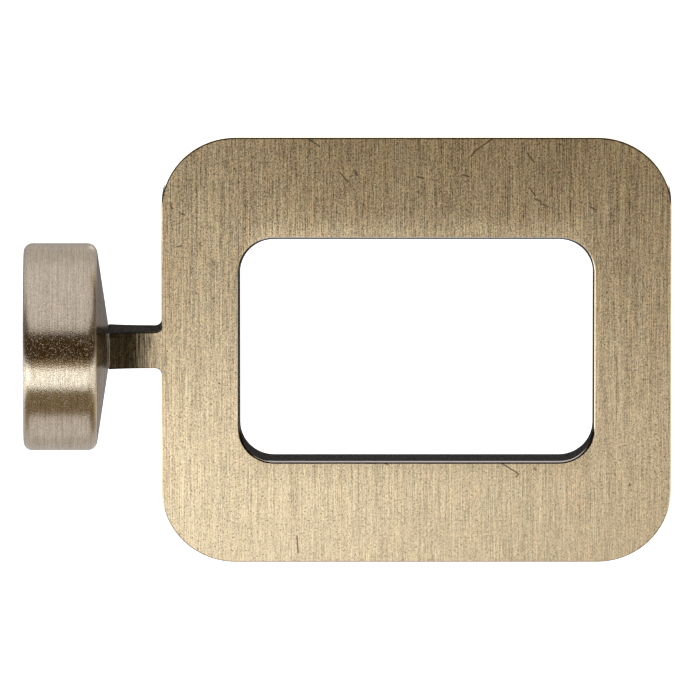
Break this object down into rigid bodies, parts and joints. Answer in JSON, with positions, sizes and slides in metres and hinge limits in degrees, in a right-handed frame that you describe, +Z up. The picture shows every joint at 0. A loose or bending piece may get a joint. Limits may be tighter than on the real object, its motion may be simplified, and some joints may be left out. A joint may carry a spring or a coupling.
{
  "type": "curtain rod end cap",
  "caption": "Curtain rod end cap: a flat plate with a rounded window on a short flared neck, seated on the conical end of a round cap that slips over the rod.",
  "frame": {"origin": "centre of the socket's open mouth, on the rod's axis", "axes": "+X along the rod's axis from the mouth to the plate, +Z up, show face towards -Y"},
  "size_m": [0.0999, 0.0335, 0.0674],
  "materials": {
    "cap_brass": "antique brass, brushed round the barrel, smooth on the cone",
    "plate_brass": "antique brass, brushed across the rod on the flat faces, dark patina on the edges",
    "screw_steel": "dark zinc-plated steel"
  },
  "bodies": {
    "root": {"socket_cap": "cap_brass", "window_plate": "plate_brass", "joining_screw": "screw_steel", "set_screw": "screw_steel"}
  },
  "joints": []
}
